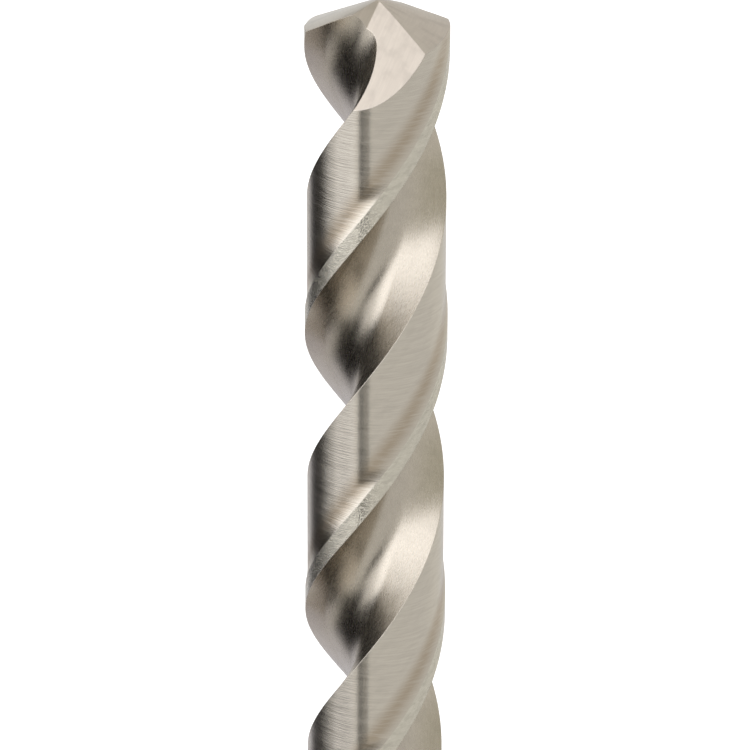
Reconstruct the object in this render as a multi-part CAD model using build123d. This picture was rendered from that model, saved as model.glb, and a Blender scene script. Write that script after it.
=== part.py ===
"""Twist drill bit: half-inch jobber length, two right-hand flutes, 135 degree split point.

One piece of ground tool steel. Millimetres, +Z up. The origin is the centre of the flat shank end,
the axis is Z, the point is at the top, and the cutting lips run parallel to X.
"""

import os
from math import asin, cos, degrees, radians, sin, sqrt, tan

from build123d import *

# Driving dimensions
DIAMETER = 12.7
OVERALL_LENGTH = 152.4
FLUTE_LENGTH = 114.3
RUN_OUT_LENGTH = 20.0
SHANK_DIAMETER = 12.64
SHANK_LENGTH = 35.0
SHANK_TAPER_LENGTH = 1.0
SHANK_CHAMFER = 0.8
LEAD = 55.5
POINT_ANGLE = 135.0
WEB_THICKNESS = 3.5

# Lands: a narrow full-size margin behind each leading edge, and a lower body behind it
MARGIN_ANGLE = 13.3
MARGIN_STEP_ANGLE = 8.0
BODY_DIAMETER = 12.29
FLUTE_ANGLE = 94.0

# Flute section: a flat rake face, then a curve from its foot round the web and out to the heel
RAKE_FACE_DEPTH = 1.9
WEB_START_ANGLE = 174.0
WEB_POINT = (2.3, 0.55)
HEEL_WALL_FOOT = (-0.06, 3.6)
HEEL_WALL_TOP = (-0.76, 8.24)
WEB_TAPER = 0.0022

# Point: each flank is part of a cone, whose apex is set over from the axis and whose axis leans out.
# The two flanks meet in a short chisel edge across the tip.
FLANK_CONE_HALF_ANGLE = 55.9
FLANK_CONE_LEAN = 12.5
FLANK_CONE_LEAN_AZIMUTH = 21.3
FLANK_APEX = (-1.05, -0.04)
CHISEL_NORMAL_AZIMUTH = -10.6

# Split point: a V-shaped gash thins the web in front of each lip and clips the heel of the land
GASH_START = (0.13, -0.34, -0.23)
GASH_FLOOR_AZIMUTH = -108.7
GASH_FLOOR_TILT = 53.0
GASH_WALL_AZIMUTH = -66.7
GASH_WALL_TILT = 69.0

RADIUS = DIAMETER / 2
BODY_RADIUS = BODY_DIAMETER / 2
LIP_HEIGHT = RADIUS / tan(radians(POINT_ANGLE / 2))
CORNER_Z = OVERALL_LENGTH - LIP_HEIGHT
FLUTE_END_Z = OVERALL_LENGTH - FLUTE_LENGTH
CORNER_AZIMUTH = degrees(asin(WEB_THICKNESS / DIAMETER))

# Working values of the cuts: radii clear of the bar, room past its ends, and the loft's step of twist
OUTSIDE = 1.3 * RADIUS
FAR_OUTSIDE = 1.5 * RADIUS
REACH = 2 * DIAMETER
ALLOWANCE = 1.0
TWIST_STEP = 30.0
CLEARANCE_OVERLAP_ANGLE = 12.0


def blank():
    """The round bar: a shank a little under size, a short taper up to full size, spare at the point."""
    shank = SHANK_DIAMETER / 2
    top = OVERALL_LENGTH + ALLOWANCE
    profile = Polyline(
        (0, 0),
        (shank - SHANK_CHAMFER, 0),
        (shank, SHANK_CHAMFER),
        (shank, SHANK_LENGTH),
        (RADIUS, SHANK_LENGTH + SHANK_TAPER_LENGTH),
        (RADIUS, top),
        (0, top),
        close=True,
    )
    return revolve(Plane.XZ * make_face(profile), Axis.Z)


def leading_edge_azimuth(z):
    """Where the leading edge of the first flute stands, in degrees, at a height."""
    return CORNER_AZIMUTH + 360 * (z - CORNER_Z) / LEAD


def flute_shift(z):
    """How far the flute has moved out from the axis: web taper, then the run-out of the wheel."""
    shift = WEB_TAPER * (OVERALL_LENGTH - z)
    into_run_out = FLUTE_END_Z + RUN_OUT_LENGTH - z
    if into_run_out > 0:
        shift += RADIUS * (into_run_out / RUN_OUT_LENGTH) ** 2
    return shift


def polar(radius, azimuth):
    """A point in the section, from a radius and an azimuth in degrees."""
    return (radius * cos(radians(azimuth)), radius * sin(radians(azimuth)))


def flute_section():
    """Outline of one flute in its own frame, with the leading edge at azimuth zero."""
    rake_foot = Vector(RADIUS - RAKE_FACE_DEPTH, 0)
    rim = Vector(OUTSIDE, 0)
    wall_foot = Vector(*HEEL_WALL_FOOT)
    wall_top = Vector(*HEEL_WALL_TOP)
    rake = Line(rim, rake_foot)
    web = TangentArc(rake_foot, WEB_POINT, tangent=polar(1, WEB_START_ANGLE))
    heel = TangentArc(WEB_POINT, wall_foot, tangent=web % 1)
    wall = Line(wall_foot, wall_top)
    closing = ThreePointArc(wall_top, polar(FAR_OUTSIDE, FLUTE_ANGLE / 2), rim)
    return make_face([rake, web, heel, wall, closing])


def clearance_section():
    """Outline of the sector ground off behind one margin, closed by the margin's sloping rear side."""
    start = FLUTE_ANGLE - CLEARANCE_OVERLAP_ANGLE
    step_top = 180 - MARGIN_ANGLE
    step_foot = step_top - MARGIN_STEP_ANGLE
    foot = Vector(*polar(BODY_RADIUS, step_foot))
    slope = Vector(*polar(RADIUS, step_top)) - foot
    inner = foot - slope / 2
    outer = foot + slope * 3
    side = Line(inner, outer)
    outside = ThreePointArc(outer, polar(OUTSIDE, (start + step_foot) / 2), polar(OUTSIDE, start))
    return make_face([side, outside, Line(outside @ 1, (0, 0)), Line((0, 0), inner)])


def twisted(section, low, high, shift=None):
    """Loft a section up the drill, turning with the lead and moved out along the flute."""
    steps = round(360 * (high - low) / LEAD / TWIST_STEP)
    outlines = []
    for index in range(steps + 1):
        z = low + (high - low) * index / steps
        move = polar(shift(z), FLUTE_ANGLE / 2) if shift else (0, 0)
        outlines.append(Pos(0, 0, z) * Rot(0, 0, leading_edge_azimuth(z)) * Pos(*move, 0) * section)
    return loft(outlines)


def flute_waste():
    """One flute, from outside the bar at the run-out to above the point."""
    top = OVERALL_LENGTH + 2 * ALLOWANCE
    return twisted(flute_section(), FLUTE_END_Z - ALLOWANCE, top, flute_shift)


def body():
    """What the lands are ground down to: a lower round body that flares out where the flutes end."""
    bottom = FLUTE_END_Z - 2 * ALLOWANCE
    top = OVERALL_LENGTH + 2 * ALLOWANCE
    flare_z = FLUTE_END_Z + RUN_OUT_LENGTH / 2
    profile = Polyline(
        (0, bottom),
        (OUTSIDE, bottom),
        (RADIUS, FLUTE_END_Z),
        (BODY_RADIUS, flare_z),
        (BODY_RADIUS, top),
        (0, top),
        close=True,
    )
    return revolve(Plane.XZ * make_face(profile), Axis.Z)


def clearance_waste():
    """The skin ground off one land, behind its margin."""
    sector = twisted(clearance_section(), FLUTE_END_Z - ALLOWANCE, OVERALL_LENGTH + 1.5 * ALLOWANCE)
    return sector - body()


def apex_rise():
    """How far a flank cone's apex stands above the tip, so that the cone passes through the tip."""
    lean = radians(FLANK_CONE_LEAN)
    azimuth = radians(FLANK_CONE_LEAN_AZIMUTH)
    spread = cos(radians(FLANK_CONE_HALF_ANGLE)) ** 2
    along = -sin(lean) * (FLANK_APEX[0] * cos(azimuth) + FLANK_APEX[1] * sin(azimuth))
    square = cos(lean) ** 2 - spread
    half = along * cos(lean)
    rest = along**2 - spread * (FLANK_APEX[0] ** 2 + FLANK_APEX[1] ** 2)
    return (-half + sqrt(half**2 - square * rest)) / square


def flank_waste():
    """What grinding one flank removes: one side of the point, outside the flank's cone."""
    base = REACH * tan(radians(FLANK_CONE_HALF_ANGLE))
    cone = Cone(base, 0, REACH, align=(Align.CENTER, Align.CENTER, Align.MAX))
    lean = Rot(0, 0, FLANK_CONE_LEAN_AZIMUTH) * Rot(0, -FLANK_CONE_LEAN, 0)
    flank = Pos(*FLANK_APEX, OVERALL_LENGTH + apex_rise()) * lean * Rot(0, 0, 180) * cone
    side = Box(DIAMETER, REACH, DIAMETER, align=(Align.MIN, Align.CENTER, Align.CENTER))
    return Pos(0, 0, OVERALL_LENGTH) * Rot(0, 0, CHISEL_NORMAL_AZIMUTH) * side - flank


def beyond_plane(azimuth, tilt):
    """The space beyond a plane through the gash's start, its normal given by azimuth and tilt."""
    across, up = sin(radians(tilt)), cos(radians(tilt))
    normal = (*polar(across, azimuth), up)
    start = (GASH_START[0], GASH_START[1], OVERALL_LENGTH + GASH_START[2])
    block = Box(REACH, REACH, REACH, align=(Align.CENTER, Align.CENTER, Align.MIN))
    return Plane(origin=start, z_dir=normal) * block


def gash_waste():
    """The V-shaped gash of the split point, between its floor and its wall."""
    floor = beyond_plane(GASH_FLOOR_AZIMUTH, GASH_FLOOR_TILT)
    wall = beyond_plane(GASH_WALL_AZIMUTH, GASH_WALL_TILT)
    return floor & wall


def both_sides(waste):
    """A waste volume and its twin on the other side of the axis."""
    return waste + Rot(0, 0, 180) * waste


def twist_drill():
    """The finished drill: blank, flutes, body clearance, flanks, then the split point."""
    drill = blank()
    for waste in (flute_waste(), clearance_waste(), flank_waste(), gash_waste()):
        drill = drill - both_sides(waste)
    return drill


def main():
    """Write the one piece and print what it measures."""
    drill = twist_drill()
    drill.label = "twist_drill"
    box = drill.bounding_box()
    print("solids", len(drill.solids()), "faces", len(drill.faces()), "valid", drill.is_valid)
    print("volume", round(drill.volume, 1), "size", box.size, "lowest", round(box.min.Z, 4))
    os.makedirs("parts", exist_ok=True)
    export_step(drill, "parts/twist_drill.step")


main()
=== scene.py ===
"""Looks for the twist drill bit: a fine mesh of the same form, ground steel, a studio and the camera."""

import math

import bmesh
import bpy
import numpy as np
from mathutils import Matrix, Vector


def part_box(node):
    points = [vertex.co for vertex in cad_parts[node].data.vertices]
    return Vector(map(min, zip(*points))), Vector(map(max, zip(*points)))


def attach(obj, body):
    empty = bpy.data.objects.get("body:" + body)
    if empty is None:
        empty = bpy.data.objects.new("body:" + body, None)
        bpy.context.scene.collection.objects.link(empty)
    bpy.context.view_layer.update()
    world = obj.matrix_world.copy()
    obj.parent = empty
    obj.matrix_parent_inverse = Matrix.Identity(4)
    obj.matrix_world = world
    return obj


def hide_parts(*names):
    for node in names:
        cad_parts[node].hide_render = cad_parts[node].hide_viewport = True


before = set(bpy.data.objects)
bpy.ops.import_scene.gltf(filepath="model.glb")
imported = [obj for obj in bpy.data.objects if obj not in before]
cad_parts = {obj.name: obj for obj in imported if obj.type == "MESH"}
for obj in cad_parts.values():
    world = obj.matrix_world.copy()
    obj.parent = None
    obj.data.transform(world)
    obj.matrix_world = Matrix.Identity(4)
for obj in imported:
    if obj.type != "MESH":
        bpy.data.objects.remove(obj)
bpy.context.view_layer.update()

NODE = "twist_drill"
MM = 0.001
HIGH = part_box(NODE)[1]
LENGTH = HIGH.z / MM
RADIUS = HIGH.x / MM

# The drill's form, in millimetres and degrees, as in the part's source. Two things differ from it: the
# margin's step is a wider concave curve, and the heel wall runs on smoothly from the curve of the web.
LEAD = 55.5
FLUTE_LENGTH = 114.3
RUN_OUT_LENGTH = 20.0
WEB_THICKNESS = 3.5
WEB_TAPER = 0.0022
POINT_ANGLE = 135.0
SHANK_RADIUS = 6.32
SHANK_LENGTH = 35.0
SHANK_TAPER_LENGTH = 1.0
SHANK_CHAMFER = 0.8
BODY_RADIUS = 6.145
MARGIN_ANGLE = 13.3
MARGIN_STEP_ANGLE = 13.0
FLUTE_ANGLE = 94.0
RAKE_FACE_DEPTH = 1.9
WEB_START_ANGLE = 174.0
WEB_POINT = (2.3, 0.55)
HEEL_WALL_FOOT = (0.4, 2.8)
HEEL_WALL_TOP = (-0.86, 8.24)
FLANK_CONE_HALF_ANGLE = 55.9
FLANK_CONE_LEAN = 12.5
FLANK_CONE_LEAN_AZIMUTH = 21.3
FLANK_APEX = (-1.05, -0.04)
CHISEL_NORMAL_AZIMUTH = -10.6
GASH_START = (0.13, -0.34, -0.23)
GASH_FLOOR_AZIMUTH = -108.7
GASH_FLOOR_TILT = 53.0
GASH_WALL_AZIMUTH = -66.7
GASH_WALL_TILT = 69.0

FLUTE_END_Z = LENGTH - FLUTE_LENGTH
SHANK_END_Z = SHANK_LENGTH + SHANK_TAPER_LENGTH
CORNER_Z = LENGTH - RADIUS / math.tan(math.radians(POINT_ANGLE / 2))
CORNER_AZIMUTH = math.degrees(math.asin(WEB_THICKNESS / 2 / RADIUS))
MARGIN_REAR = 180 - MARGIN_ANGLE
STEP_FOOT = MARGIN_REAR - MARGIN_STEP_ANGLE

# Below these heights the section has no flute, and it stops turning
NO_FLUTE_Z = FLUTE_END_Z - 5
NO_TWIST_Z = SHANK_LENGTH - 5

# Mesh density: columns round half the section, the rows' steps and heights, and points along the profile
FLUTE_COLUMNS = 90
LAND_COLUMNS = 44
STEP_COLUMNS = 10
MARGIN_COLUMNS = 12
HALF_COLUMNS = FLUTE_COLUMNS + LAND_COLUMNS + STEP_COLUMNS + MARGIN_COLUMNS - 1
ROW_STEP = 0.45
TIP_ROW_STEP = 0.2
TIP_ROWS_FROM = 8.0
SHANK_ROWS = (30, 25, 20, 15, 10, 5, 1.5)
RAKE_POINTS = 60
WEB_POINTS = 60
HEEL_POINTS = 80
WALL_POINTS = 60
PATH_SAMPLES = 600
BISECTIONS = 30

# Working values of the cuts: room past the bar's rim and end, how far the two flanks' cuts overlap, and
# the size of each tool, with the facets of the cone and the UV map of its grain
OUTSIDE = 1.3 * RADIUS
SPARE = 1.0
SEAM_OVERLAP = 0.01
CONE_SEGMENTS = 360
CONE_REACH = 14.0
CONE_GRAIN_LENGTH = 15
CONE_GRAIN_STEP = 0.2
SIDE_REACH = 20
SIDE_HALF_HEIGHT = 8
GASH_REACH = 16.0

# Edges that turn by more than this, in degrees, stay sharp
SHARP_ANGLE = 6.2

# The material slots of every mesh, in this order
LAND, FLUTE, FLANK, GASH, SHANK, MARGIN = range(6)


# ---------------------------------------------------------------- node trees


class Nodes:
    """A short way to write node trees: each call adds a node and returns its output."""

    def __init__(self, tree):
        """Write into this node tree."""
        self.tree = tree

    def put(self, socket, value):
        """Link an output to a socket, or set a plain value on it."""
        if isinstance(value, bpy.types.NodeSocket):
            self.tree.links.new(value, socket)
        elif value is not None:
            socket.default_value = value

    def add(self, kind, inputs=(), output=0, **settings):
        """A node of a kind, with its inputs by name or in order, and one of its outputs."""
        node = self.tree.nodes.new(kind)
        for key, value in settings.items():
            setattr(node, key, value)
        pairs = inputs.items() if isinstance(inputs, dict) else enumerate(inputs)
        for key, value in pairs:
            self.put(node.inputs[key], value)
        return node.outputs[output]

    def math(self, operation, *inputs):
        """The result of one operation."""
        return self.add("ShaderNodeMath", inputs, operation=operation)

    def ramp(self, value, low, high, to_low=0.0, to_high=1.0):
        """A value moved smoothly from one range to another."""
        inputs = (value, low, high, to_low, to_high)
        return self.add("ShaderNodeMapRange", inputs, interpolation_type="SMOOTHSTEP")

    def mix(self, factor, first, second):
        """A mix of two colours. Its colour sockets share their names with others, so they go by number."""
        node = self.tree.nodes.new("ShaderNodeMix")
        node.data_type = "RGBA"
        self.put(node.inputs[0], factor)
        self.put(node.inputs[6], first)
        self.put(node.inputs[7], second)
        return node.outputs[2]

    def noise(self, vector, scale, detail=2.0, roughness=0.5):
        """Plain noise, from 0 to 1."""
        inputs = {"Vector": vector, "Scale": scale, "Detail": detail, "Roughness": roughness}
        return self.add("ShaderNodeTexNoise", inputs)

    def stretch(self, vector, across, along, offset=0.0):
        """Coordinates scaled by different amounts across and along, and moved."""
        inputs = {"Vector": vector, "Location": (offset, offset, 0), "Scale": (across, along, 1)}
        return self.add("ShaderNodeMapping", inputs)

    def streaks(self, grain, size, offset=0.0, roughness=0.5):
        """Noise drawn out into marks: how many there are to the millimetre along u and along v."""
        return self.noise(self.stretch(grain, *size, offset), 1.0, roughness=roughness)


def rgba(colour):
    """A colour with full alpha."""
    return (*colour, 1.0)


# ---------------------------------------------------------------- ground steel

STEEL = (0.61, 0.565, 0.49)
LAND_STEEL = (0.65, 0.605, 0.53)
FLUTE_STEEL = (0.57, 0.52, 0.445)
GASH_STEEL = (0.61, 0.55, 0.483)
MARGIN_STEEL = (0.69, 0.655, 0.565)

# Grinding marks: wider and fewer ones go with the fine ones, and both darken or brighten the steel
LINES_ROUGHNESS = 0.6
WIDE_SCALE = 0.3
WIDE_OFFSET = 7.0
LINES_SHARE = 0.6
TONE_RANGE = (0.35, 0.65)
DARKER = 0.07
BRIGHTER = 0.05
ROUGHNESS_RANGE = (0.3, 0.7)
ROUGHNESS_SPREAD = 0.07

# Dull patches
DULL = 0.82
DULL_DETAIL = 3.0
DULL_RANGE = (0.45, 0.7)

# Painted shade: a brownish dark band on a land where it curves up into the margin's step, with its middle
# and half width in millimetres of arc from the margin's rear edge, and the streaks in it
PAINTED_STEP_SHADE = (0.47, 0.4, 0.31)
PAINTED_STEP_SHADE_AT = -1.4
PAINTED_STEP_SHADE_WIDTH = 1.7
PAINTED_STEP_SHADE_STREAKS = (0.5, 6.0)
PAINTED_STEP_SHADE_OFFSET = 3.0
PAINTED_STEP_SHADE_RANGE = (0.3, 0.6)
PAINTED_STEP_SHADE_LEAST = 0.6

# Pits that sparkle, the relief of the marks and the rounding of the edges, in metres
PITS = (9.0, 5.0)
PITS_OFFSET = 2.0
PITS_ROUGHNESS = 0.7
PITS_RANGE = (0.45, 0.75)
BUMP_DEPTH = 0.000012
BUMP_STRENGTH = 0.5
EDGE_RADIUS = 0.0001
EDGE_SAMPLES = 4

# Marks along u turn the stretched highlight by a quarter
QUARTER_TURN = 0.25


def marked_colour(n, base, contrast, lines, wide):
    """The steel's colour, a little darker and brighter along its grinding marks."""
    tone = n.math("ADD", n.math("MULTIPLY", lines, LINES_SHARE), n.math("MULTIPLY", wide, 1 - LINES_SHARE))
    dark = tuple((1 - DARKER * contrast) * c for c in base)
    bright = tuple((1 + BRIGHTER * contrast) * c for c in base)
    return n.mix(n.ramp(tone, *TONE_RANGE), rgba(dark), rgba(bright))


def dulled(n, grain, colour, base, mottle, mottle_scale):
    """The colour with dull patches on it."""
    patches = n.ramp(n.noise(grain, mottle_scale, DULL_DETAIL), *DULL_RANGE)
    dull = tuple(DULL * c for c in base)
    return n.mix(n.math("MULTIPLY", patches, mottle), colour, rgba(dull))


def with_painted_step_shade(n, grain, colour):
    """The colour with painted shade on it: a brownish dark band on a land beside the margin's step."""
    arc = n.add("ShaderNodeSeparateXYZ", (grain,))
    rise = n.ramp(arc, PAINTED_STEP_SHADE_AT - PAINTED_STEP_SHADE_WIDTH, PAINTED_STEP_SHADE_AT)
    fall = n.ramp(arc, PAINTED_STEP_SHADE_AT, PAINTED_STEP_SHADE_AT + PAINTED_STEP_SHADE_WIDTH, 1.0, 0.0)
    streaks = n.ramp(n.streaks(grain, PAINTED_STEP_SHADE_STREAKS, PAINTED_STEP_SHADE_OFFSET), *PAINTED_STEP_SHADE_RANGE, PAINTED_STEP_SHADE_LEAST, 1.0)
    band = n.math("MULTIPLY", n.math("MULTIPLY", rise, fall), streaks)
    return n.mix(band, colour, rgba(PAINTED_STEP_SHADE))


def ground_steel(
    name,
    roughness,
    anisotropy,
    marks,
    marks_along_u=False,
    base=STEEL,
    contrast=1.0,
    mottle=0.25,
    mottle_scale=0.8,
    depth=BUMP_DEPTH,
    speckle=0.0,
    painted_step_shade=False,
):
    """Ground steel. Its marks are given by how many there are to the millimetre, across and along them."""
    material = bpy.data.materials.new(name)
    material.use_nodes = True
    tree = material.node_tree
    shader = tree.nodes["Principled BSDF"]
    n = Nodes(tree)
    grain = n.add("ShaderNodeUVMap", uv_map="grain")
    size = marks[::-1] if marks_along_u else marks
    lines = n.streaks(grain, size, roughness=LINES_ROUGHNESS)
    wide = n.streaks(grain, (size[0] * WIDE_SCALE, size[1] * WIDE_SCALE), WIDE_OFFSET)

    colour = marked_colour(n, base, contrast, lines, wide)
    colour = dulled(n, grain, colour, base, mottle, mottle_scale)
    # Painted shade along the foot of the margin's step, as a brownish band
    if painted_step_shade:
        colour = with_painted_step_shade(n, grain, colour)
    tree.links.new(colour, shader.inputs["Base Color"])

    smooth, rough = roughness * (1 - ROUGHNESS_SPREAD), roughness * (1 + ROUGHNESS_SPREAD)
    tree.links.new(n.ramp(wide, *ROUGHNESS_RANGE, smooth, rough), shader.inputs["Roughness"])

    height = lines
    if speckle:
        pits = n.ramp(n.streaks(grain, PITS, PITS_OFFSET, PITS_ROUGHNESS), *PITS_RANGE)
        height = n.math("ADD", lines, n.math("MULTIPLY", pits, speckle))
    edges = n.add("ShaderNodeBevel", {"Radius": EDGE_RADIUS}, samples=EDGE_SAMPLES)
    relief = {"Strength": BUMP_STRENGTH, "Distance": depth, "Height": height, "Normal": edges}
    tree.links.new(n.add("ShaderNodeBump", relief), shader.inputs["Normal"])
    tangent = n.add("ShaderNodeTangent", direction_type="UV_MAP", uv_map="grain")
    tree.links.new(tangent, shader.inputs["Tangent"])
    shader.inputs["Metallic"].default_value = 1.0
    shader.inputs["Anisotropic"].default_value = anisotropy
    shader.inputs["Anisotropic Rotation"].default_value = QUARTER_TURN if marks_along_u else 0.0
    return material


def steel_materials():
    """The six finishes of the drill, in the order of the material slots."""
    land = ground_steel(
        "land_steel",
        roughness=0.235,
        anisotropy=0.92,
        marks=(7.0, 0.4),
        marks_along_u=True,
        base=LAND_STEEL,
        contrast=0.8,
        depth=0.00003,
        # painted shade beside the margin's step
        painted_step_shade=True,
    )
    flute = ground_steel(
        "flute_steel",
        roughness=0.27,
        anisotropy=0.4,
        marks=(12.0, 3.5),
        base=FLUTE_STEEL,
        depth=0.000008,
        speckle=0.8,
    )
    flank = ground_steel(
        "flank_steel",
        roughness=0.3,
        anisotropy=0.5,
        marks=(9.0, 0.4),
        contrast=0.6,
        mottle=0.6,
        mottle_scale=0.5,
    )
    gash = ground_steel(
        "gash_steel",
        roughness=0.3,
        anisotropy=0.5,
        marks=(6.0, 0.4),
        base=GASH_STEEL,
        contrast=0.6,
        mottle=0.6,
        mottle_scale=0.7,
    )
    shank = ground_steel(
        "shank_steel",
        roughness=0.35,
        anisotropy=0.9,
        marks=(4.2, 0.7),
        marks_along_u=True,
        base=LAND_STEEL,
    )
    margin = ground_steel(
        "margin_steel",
        roughness=0.22,
        anisotropy=0.85,
        marks=(5.0, 2.0),
        marks_along_u=True,
        base=MARGIN_STEEL,
        mottle=0.7,
        mottle_scale=1.6,
        depth=0.00002,
        speckle=1.5,
    )
    return land, flute, flank, gash, shank, margin


MATERIALS = steel_materials()


# ---------------------------------------------------------------- the drill's section


def polar(radius, azimuth):
    """A point in the section plane, from a radius and an azimuth in degrees."""
    turn = math.radians(azimuth)
    return np.array([radius * math.cos(turn), radius * math.sin(turn)])


def azimuth_of(point):
    """The azimuth of a point in the section plane, in degrees."""
    return math.degrees(math.atan2(point[1], point[0]))


def tangent_arc(start, heading, end, count):
    """The arc that leaves start along a heading in radians and reaches end: its points and last heading."""
    start, end = np.array(start, float), np.array(end, float)
    chord = end - start
    half = math.atan2(chord[1], chord[0]) - heading
    radius = np.hypot(*chord) / 2 / math.sin(half)
    centre = start + radius * np.array([-math.sin(heading), math.cos(heading)])
    turns = heading + np.linspace(0, 2 * half, count)
    points = centre + radius * np.column_stack([np.sin(turns), -np.cos(turns)])
    return points, turns[-1]


def flute_profile():
    """The flute's section as one line from outside the rim, down the rake face and up the heel wall."""
    rake = np.linspace((OUTSIDE, 0), (RADIUS - RAKE_FACE_DEPTH, 0), RAKE_POINTS)
    web, heading = tangent_arc(rake[-1], math.radians(WEB_START_ANGLE), WEB_POINT, WEB_POINTS)
    heel, _ = tangent_arc(WEB_POINT, heading, HEEL_WALL_FOOT, HEEL_POINTS)
    wall = np.linspace(HEEL_WALL_FOOT, HEEL_WALL_TOP, WALL_POINTS)
    return np.concatenate([rake[:-1], web[:-1], heel[:-1], wall])


PROFILE = flute_profile()


def flute_shift(z):
    """How far the flute has moved out from the axis: web taper, then the run-out of the wheel."""
    into_run_out = max(FLUTE_END_Z + RUN_OUT_LENGTH - z, 0)
    return WEB_TAPER * (LENGTH - z) + RADIUS * (into_run_out / RUN_OUT_LENGTH) ** 2


def body_radius(z):
    """The lands' radius, which rises to full size where the flutes end."""
    into_flare = max(FLUTE_END_Z + RUN_OUT_LENGTH / 2 - z, 0) / (RUN_OUT_LENGTH / 2)
    return min(BODY_RADIUS + (RADIUS - BODY_RADIUS) * into_flare, RADIUS)


def bar_radius(z):
    """The radius of the bar that the flutes are ground into."""
    into_taper = (z - SHANK_LENGTH) / SHANK_TAPER_LENGTH
    full = SHANK_RADIUS + (RADIUS - SHANK_RADIUS) * min(max(into_taper, 0), 1)
    return full - max(SHANK_CHAMFER - z, 0)


def crossing(points, radius, first):
    """Where a polyline crosses a circle, as a fractional index: its first or its last crossing."""
    inside = np.hypot(points[:, 0], points[:, 1]) < radius
    found = np.flatnonzero(inside[1:] != inside[:-1])
    if len(found) == 0:
        return None
    index = found[0] if first else found[-1]
    a, b = points[index], points[index + 1]
    low, high = 0.0, 1.0
    for _ in range(BISECTIONS):
        mid = (low + high) / 2
        here = np.hypot(*(a + (b - a) * mid)) < radius
        if here == inside[index]:
            low = mid
        else:
            high = mid
    return index + (low + high) / 2


def at_index(points, indices):
    """Points of a polyline at fractional indices."""
    whole = np.arange(len(points))
    return np.column_stack([np.interp(indices, whole, points[:, k]) for k in (0, 1)])


def spacing(points, start, end, count):
    """Fractional indices from start to end, evenly spaced along the polyline's length."""
    fine = np.linspace(start, end, PATH_SAMPLES)
    path = at_index(points, fine)
    travel = np.concatenate([[0], np.cumsum(np.hypot(*np.diff(path, axis=0).T))])
    return np.interp(np.linspace(0, travel[-1], count), travel, fine)


def flute_points(z, outer, land):
    """The flute's surface at a height, from leading edge to heel, or nothing where no flute is left."""
    if z <= NO_FLUTE_Z:
        return None
    points = PROFILE + polar(flute_shift(z), FLUTE_ANGLE / 2)
    start = crossing(points, outer, True)
    end = crossing(points, land, False)
    if start is None or end is None:
        return None
    return at_index(points, spacing(points, start, end, FLUTE_COLUMNS))


def half_section(z, ends):
    """Half of the section at a height, from one leading edge round to just before the other.

    ends holds the azimuths of the last flute's edge and heel: the round shank keeps its columns there.
    """
    outer = bar_radius(z)
    land = min(body_radius(z), outer)
    flute = flute_points(z, outer, land)
    if flute is None:
        flute = np.array([polar(outer, a) for a in np.linspace(*ends, FLUTE_COLUMNS)])
    else:
        ends = (azimuth_of(flute[0]), azimuth_of(flute[-1]))
    edge, heel = ends
    land_turns = np.linspace(heel, STEP_FOOT, LAND_COLUMNS + 1)[1:]
    step_turns = np.linspace(STEP_FOOT, MARGIN_REAR, STEP_COLUMNS + 1)[1:]
    margin_turns = np.linspace(MARGIN_REAR, 180 + edge, MARGIN_COLUMNS + 1)[1:-1]
    rise = ((step_turns - STEP_FOOT) / MARGIN_STEP_ANGLE) ** 2
    parts = [flute]
    parts.append(np.array([polar(land, a) for a in land_turns]))
    parts.append(np.array([polar(land + (outer - land) * r, a) for a, r in zip(step_turns, rise)]))
    parts.append(np.array([polar(outer, a) for a in margin_turns]))
    return np.concatenate(parts), ends


# ---------------------------------------------------------------- the fluted bar


def leading_edge_azimuth(z):
    """Where the leading edge of the first flute stands, in degrees, at a height."""
    return CORNER_AZIMUTH + 360 * (z - CORNER_Z) / LEAD


def row_heights():
    """Heights of the mesh's rows, from above the point down to the shank end."""
    top = np.arange(LENGTH + SPARE, LENGTH - TIP_ROWS_FROM, -TIP_ROW_STEP)
    fluted = np.arange(LENGTH - TIP_ROWS_FROM, SHANK_END_Z, -ROW_STEP)
    shank = [SHANK_END_Z, SHANK_LENGTH, *SHANK_ROWS, SHANK_CHAMFER, 0]
    return np.concatenate([top, fluted, shank])


def with_next(half):
    """The points of a half row and the first point of the other half."""
    return np.concatenate([half, -half[:1]])


def flute_grain(half, z):
    """UV of a half row in the flute: v runs up the helix and u square to it, in millimetres."""
    points = with_next(half)
    step = np.diff(points, axis=0)
    length = np.hypot(step[:, 0], step[:, 1])
    middle = (points[1:] + points[:-1]) / 2
    pitch = 2 * math.pi / LEAD
    slope = pitch * (middle[:, 0] * step[:, 1] - middle[:, 1] * step[:, 0])
    climb = slope / (1 + (pitch * np.hypot(middle[:, 0], middle[:, 1])) ** 2)
    square = np.sqrt(np.maximum(length**2 - slope * climb, 0))
    u = np.concatenate([[0], np.cumsum(square)])
    v = z + np.concatenate([[0], np.cumsum(climb)])
    return np.column_stack([u, v])


def land_grain(half, z):
    """UV of a half row on a land: u is the arc from the margin's rear edge, v is the height."""
    points = with_next(half)
    turns = np.degrees(np.arctan2(points[:, 1], points[:, 0]))
    turns[turns < 0] += 360
    arc = np.radians(turns - MARGIN_REAR) * RADIUS
    return np.column_stack([arc, np.full(len(arc), z)])


def region_at(column, z):
    """The material of a face, from its column in the half section and its upper height."""
    if z <= SHANK_END_Z:
        return SHANK
    if column < FLUTE_COLUMNS - 1:
        return FLUTE
    if column >= HALF_COLUMNS - MARGIN_COLUMNS:
        return MARGIN
    return LAND


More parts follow.
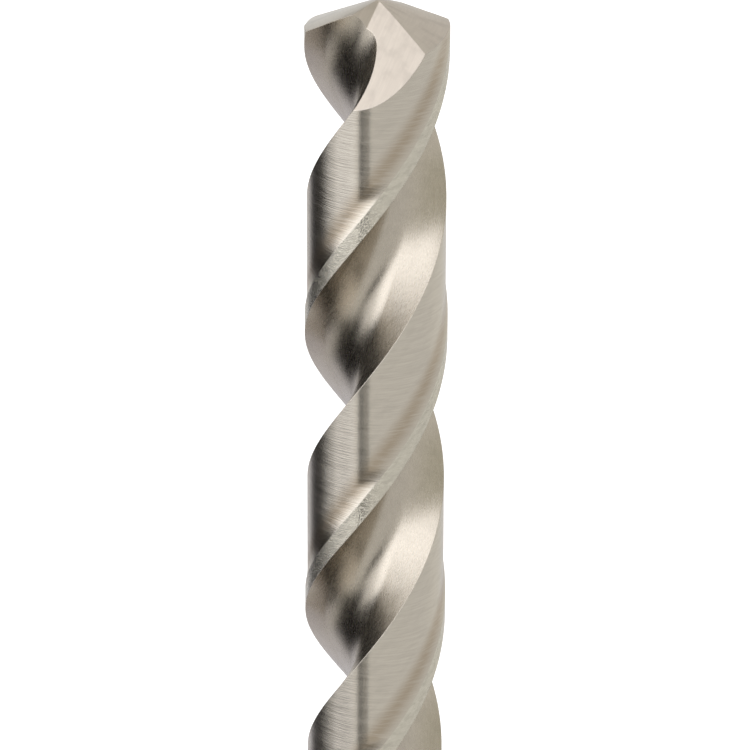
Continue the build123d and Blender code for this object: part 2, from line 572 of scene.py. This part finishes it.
def bar_mesh():
    """The fluted bar and shank, closed at both ends, with the grain's UV map."""
    heights = row_heights()
    rows, flute_uvs, land_uvs = [], [], []
    ends = (0.0, 90.0)
    for z in heights:
        half, ends = half_section(z, ends)
        whole = np.concatenate([half, -half])
        turn = math.radians(leading_edge_azimuth(max(z, NO_TWIST_Z)))
        spin = np.array([[math.cos(turn), math.sin(turn)], [-math.sin(turn), math.cos(turn)]])
        rows.append(np.column_stack([whole @ spin, np.full(len(whole), z)]))
        flute_uvs.append(flute_grain(half, z))
        land_uvs.append(land_grain(half, z))
    vertices = np.concatenate(rows)
    count = 2 * HALF_COLUMNS
    faces, regions, uvs = [], [], []
    for r in range(len(rows) - 1):
        for c in range(count):
            here = r * count + c
            beside = r * count + (c + 1) % count
            faces.append((here, here + count, beside + count, beside))
            k = c % HALF_COLUMNS
            region = region_at(k, heights[r])
            regions.append(region)
            source = flute_uvs if region == FLUTE else land_uvs
            uvs += [source[r][k], source[r + 1][k], source[r + 1][k + 1], source[r][k + 1]]
    faces.append(tuple(range(count)))
    faces.append(tuple(range(len(vertices) - 1, len(vertices) - 1 - count, -1)))
    regions += [SHANK, SHANK]
    uvs += [(0.0, 0.0)] * count
    uvs += [tuple(v[:2]) for v in vertices[::-1][:count]]
    return vertices, faces, regions, uvs


# ---------------------------------------------------------------- objects and cuts


def fix_normals(obj):
    """Turn every face outward."""
    work = bmesh.new()
    work.from_mesh(obj.data)
    bmesh.ops.recalc_face_normals(work, faces=work.faces)
    work.to_mesh(obj.data)
    work.free()


def make_object(name, vertices, faces, regions, uvs=None):
    """A Blender object from lists, with the drill's material slots."""
    mesh = bpy.data.meshes.new(name)
    mesh.from_pydata([tuple(v) for v in vertices], [], faces)
    layer = mesh.uv_layers.new(name="grain")
    if uvs is not None:
        layer.data.foreach_set("uv", np.array(uvs, np.float32).ravel())
    for material in MATERIALS:
        mesh.materials.append(material)
    mesh.polygons.foreach_set("material_index", np.array(regions, np.int32))
    made = bpy.data.objects.new(name, mesh)
    bpy.context.scene.collection.objects.link(made)
    fix_normals(made)
    return made


def box_object(name, low, high):
    """A closed box between two corners."""
    corners = [(x, y, z) for z in (low[2], high[2]) for y in (low[1], high[1]) for x in (low[0], high[0])]
    faces = [(0, 2, 3, 1), (4, 5, 7, 6), (0, 1, 5, 4), (2, 6, 7, 3), (0, 4, 6, 2), (1, 3, 7, 5)]
    return make_object(name, corners, faces, [FLANK] * len(faces))


def turned(angle, axis):
    """A rotation about an axis, from degrees."""
    return Matrix.Rotation(math.radians(angle), 4, axis)


def cut(target, tool):
    """Take a tool's volume off a target with an exact boolean, and remove the tool."""
    modifier = target.modifiers.new("cut", "BOOLEAN")
    modifier.object = tool
    modifier.operation = "DIFFERENCE"
    modifier.solver = "EXACT"
    bpy.context.view_layer.update()
    graph = bpy.context.evaluated_depsgraph_get()
    result = bpy.data.meshes.new_from_object(target.evaluated_get(graph))
    target.modifiers.clear()
    old = target.data
    target.data = result
    bpy.data.meshes.remove(old)
    bpy.data.objects.remove(tool)


def apex_rise():
    """How far a flank cone's apex stands above the tip, so that the cone passes through the tip."""
    lean = math.radians(FLANK_CONE_LEAN)
    azimuth = math.radians(FLANK_CONE_LEAN_AZIMUTH)
    spread = math.cos(math.radians(FLANK_CONE_HALF_ANGLE)) ** 2
    along = -math.sin(lean) * (FLANK_APEX[0] * math.cos(azimuth) + FLANK_APEX[1] * math.sin(azimuth))
    square = math.cos(lean) ** 2 - spread
    half = along * math.cos(lean)
    rest = along**2 - spread * (FLANK_APEX[0] ** 2 + FLANK_APEX[1] ** 2)
    return (-half + math.sqrt(half**2 - square * rest)) / square


def flank_cone():
    """The leaning cone whose surface is one flank. Its grain runs round it."""
    lean = turned(FLANK_CONE_LEAN_AZIMUTH, "Z") @ turned(-FLANK_CONE_LEAN, "Y")
    stand = Matrix.Translation((*FLANK_APEX, LENGTH + apex_rise())) @ lean
    spread = CONE_REACH * math.tan(math.radians(FLANK_CONE_HALF_ANGLE))
    vertices = [stand @ Vector((0, 0, 0))]
    for turn in np.linspace(0, 2 * math.pi, CONE_SEGMENTS, endpoint=False):
        vertices.append(stand @ Vector((spread * math.cos(turn), spread * math.sin(turn), -CONE_REACH)))
    faces, uvs = [], []
    for i in range(CONE_SEGMENTS):
        faces.append((0, 1 + i, 1 + (i + 1) % CONE_SEGMENTS))
        near, far = i * CONE_GRAIN_STEP, (i + 1) * CONE_GRAIN_STEP
        uvs += [(0, near), (CONE_GRAIN_LENGTH, near), (CONE_GRAIN_LENGTH, far)]
    faces.append(tuple(range(CONE_SEGMENTS, 0, -1)))
    uvs += [(0, 0)] * CONE_SEGMENTS
    return make_object("cone", vertices, faces, [FLANK] * len(faces), uvs)


def flank_waste(azimuth):
    """What grinding one flank removes: one side of the point, outside the flank's cone."""
    cone = flank_cone()
    low = (-SEAM_OVERLAP, -SIDE_REACH, -SIDE_HALF_HEIGHT)
    side = box_object("side", low, (SIDE_REACH, SIDE_REACH, SIDE_HALF_HEIGHT))
    side.data.transform(Matrix.Translation((0, 0, LENGTH)) @ turned(CHISEL_NORMAL_AZIMUTH, "Z"))
    cut(side, cone)
    side.data.transform(turned(azimuth, "Z"))
    return side


def normal_vector(azimuth, tilt):
    """A unit vector from its azimuth and its tilt from vertical, in degrees."""
    across = polar(math.sin(math.radians(tilt)), azimuth)
    return Vector((across[0], across[1], math.cos(math.radians(tilt))))


def into_gash(root, own, other):
    """The way along one side of the gash, square to its root, that leads into the gash."""
    along = root.cross(own).normalized()
    if along.dot(other) < 0:
        along.negate()
    return along


def gash_waste(azimuth):
    """The V-shaped gash of the split point, as a long prism between its floor and its wall."""
    floor = normal_vector(GASH_FLOOR_AZIMUTH, GASH_FLOOR_TILT)
    wall = normal_vector(GASH_WALL_AZIMUTH, GASH_WALL_TILT)
    root = floor.cross(wall).normalized()
    along_floor = into_gash(root, floor, wall)
    along_wall = into_gash(root, wall, floor)
    start = Vector((GASH_START[0], GASH_START[1], LENGTH + GASH_START[2]))
    across = [Vector((0, 0, 0)), along_floor, along_floor + along_wall, along_wall]
    ends = (-GASH_REACH, GASH_REACH)
    vertices = [start + root * end + p * GASH_REACH for end in ends for p in across]
    faces = [(0, 1, 5, 4), (1, 2, 6, 5), (2, 3, 7, 6), (3, 0, 4, 7), (3, 2, 1, 0), (4, 5, 6, 7)]
    uvs = []
    for face in faces:
        for corner in face:
            p = vertices[corner] - start
            uvs.append((p.dot(along_floor), p.dot(root)))
    made = make_object("gash", vertices, faces, [GASH] * len(faces), uvs)
    made.data.transform(turned(azimuth, "Z"))
    return made


def build_drill():
    """The finished drill: the fluted bar, less two gashes and what the flanks' grinding takes off."""
    made = make_object("drill", *bar_mesh())
    for waste in (gash_waste, flank_waste):
        for azimuth in (0, 180):
            cut(made, waste(azimuth))
    mesh = made.data
    mesh.transform(Matrix.Scale(MM, 4))
    mesh.polygons.foreach_set("use_smooth", np.ones(len(mesh.polygons), bool))
    mesh.set_sharp_from_angle(angle=math.radians(SHARP_ANGLE))
    return made


drill = build_drill()
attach(drill, "root")
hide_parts(NODE)

# ---------------------------------------------------------------- studio

# The studio's front is the azimuth, in degrees, that the photograph was taken from
STUDIO_FRONT = -86.3
AMBIENT = (0.77, 0.755, 0.72)

# Soft panels round the drill: azimuth from the front, its half width and its softness, elevation, its
# half height and its softness, how far the azimuth moves per degree of elevation, and the colour
PANELS = (
    # right, pale grey
    (45, 60, 40, -15, 25, 20, 0.0, (0.7, 0.69, 0.67)),
    # upper right, grey
    (26, 37, 18, 38, 18, 24, 0.0, (0.58, 0.565, 0.49)),
    # behind right and behind left, pale
    (155, 45, 30, 40, 35, 30, 0.0, (0.75, 0.72, 0.7)),
    (-172, 20, 14, 10, 22, 15, 0.0, (0.87, 0.88, 0.9)),
    # left soft box
    (-88, 18, 14, 38, 26, 16, 0.0, (1.75, 1.75, 1.78)),
    (-55, 33, 14, 15, 28, 16, 0.5, (1.9, 1.9, 1.95)),
    # bright core of the soft box
    (-56, 24, 20, 2, 14, 14, 0.5, (1.95, 1.95, 2.0)),
    # lower left, grey, and straight below
    (-150, 55, 40, -55, 30, 20, 0.0, (0.72, 0.71, 0.76)),
    (0, 180, 1, -85, 14, 14, 0.0, (0.57, 0.55, 0.59)),
    # dark behind the left soft box
    (-130, 20, 12, 18, 36, 20, 0.0, (0.03, 0.027, 0.025)),
    (-122, 26, 12, -8, 14, 12, -1.0, (0.03, 0.027, 0.025)),
    # dark gap, running down to the right
    (-109, 29, 10, -26, 23, 12, -0.9, (0.02, 0.018, 0.016)),
    (-73, 43, 13, -45, 19, 12, -1.3, (0.007, 0.006, 0.005)),
    # pale strip and dark slot beside the camera
    (-53, 20, 10, -23, 7, 6, 0.0, (1.0, 0.99, 0.99)),
    (-20, 8.5, 5, -24, 10, 6, 0.0, (0.04, 0.036, 0.03)),
    (-25, 4, 2, -24, 14, 6, 0.0, (0.01, 0.01, 0.01)),
)

# A pale floor, in metres. To the camera alone it shines a little, and so it comes out white.
FLOOR_HALF_WIDTH = 3
FLOOR_COLOUR = (0.8, 0.8, 0.8)
FLOOR_ROUGHNESS = 0.9
FLOOR_LIFT = 0.65


def soft_edge(n, distance, half_size, softness):
    """How much of a panel there is at a distance from its middle: 1 inside it, 0 outside."""
    return n.ramp(distance, half_size - softness / 2, half_size + softness / 2, 1.0, 0.0)


def studio_world():
    """A studio of soft panels round the drill, in place of single lamps."""
    world = bpy.data.worlds.new("studio")
    bpy.context.scene.world = world
    world.use_nodes = True
    tree = world.node_tree
    n = Nodes(tree)
    turn = {"Vector": n.add("ShaderNodeTexCoord"), "Angle": math.radians(-STUDIO_FRONT)}
    direction = n.add("ShaderNodeVectorRotate", turn, rotation_type="Z_AXIS")
    x, y, z = (n.add("ShaderNodeSeparateXYZ", (direction,), k) for k in range(3))
    azimuth = n.math("DEGREES", n.math("ARCTAN2", y, x))
    elevation = n.math("DEGREES", n.math("ARCSINE", z))
    colour = rgba(AMBIENT)
    for at, wide, wide_softness, high, tall, tall_softness, slant, panel in PANELS:
        rise = n.math("SUBTRACT", elevation, high)
        middle = n.math("ADD", n.math("MULTIPLY", rise, slant), at)
        aside = n.math("WRAP", n.math("SUBTRACT", azimuth, middle), 180, -180)
        across = soft_edge(n, n.math("ABSOLUTE", aside), wide, wide_softness)
        up = soft_edge(n, n.math("ABSOLUTE", rise), tall, tall_softness)
        colour = n.mix(n.math("MULTIPLY", across, up), colour, rgba(panel))
    tree.links.new(colour, tree.nodes["Background"].inputs["Color"])


def studio_floor():
    """A pale floor, white to the camera but with the drill's shadow on it."""
    far = FLOOR_HALF_WIDTH
    corners = [(-far, -far, 0), (far, -far, 0), (far, far, 0), (-far, far, 0)]
    mesh = bpy.data.meshes.new("floor")
    mesh.from_pydata(corners, [], [(0, 1, 2, 3)])
    floor = bpy.data.objects.new("floor", mesh)
    bpy.context.scene.collection.objects.link(floor)
    material = bpy.data.materials.new("floor")
    material.use_nodes = True
    tree = material.node_tree
    n = Nodes(tree)
    shader = tree.nodes["Principled BSDF"]
    shader.inputs["Base Color"].default_value = rgba(FLOOR_COLOUR)
    shader.inputs["Roughness"].default_value = FLOOR_ROUGHNESS
    shader.inputs["Emission Color"].default_value = rgba((1, 1, 1))
    is_camera_ray = n.add("ShaderNodeLightPath")
    tree.links.new(n.math("MULTIPLY", is_camera_ray, FLOOR_LIFT), shader.inputs["Emission Strength"])
    mesh.materials.append(material)
    floor.visible_glossy = False


studio_world()
studio_floor()

# ---------------------------------------------------------------- camera

# The photograph's view: angles in degrees, lens, sensor and distances in millimetres, the clip start in
# metres. The camera looks at a point beside the drill's axis and at this height.
CAMERA_ELEVATION = 26.443
CAMERA_AZIMUTH = 3.7
CAMERA_DISTANCE = 567.2
CAMERA_ROLL = 0.198
LENS = 305.5
SENSOR = 36.0
CLIP_START = 0.01
LOOK_AT = (-0.0915, 116.0)


def photo_camera():
    """The camera, at the photograph's viewing angle."""
    data = bpy.data.cameras.new("camera")
    data.lens = LENS
    data.sensor_width = SENSOR
    data.clip_start = CLIP_START
    camera = bpy.data.objects.new("camera", data)
    bpy.context.scene.collection.objects.link(camera)
    spin = turned(CAMERA_AZIMUTH, "Z")
    elevation = math.radians(CAMERA_ELEVATION)
    target = spin @ Vector((LOOK_AT[0], 0, LOOK_AT[1]))
    away = spin @ Vector((0, -math.cos(elevation), math.sin(elevation)))
    position = (target + away * CAMERA_DISTANCE) * MM
    look = (-away).to_track_quat("-Z", "Y").to_matrix().to_4x4()
    camera.matrix_world = Matrix.Translation(position) @ look @ turned(CAMERA_ROLL, "Z")
    bpy.context.scene.camera = camera


photo_camera()
bpy.context.scene.view_settings.view_transform = "Standard"
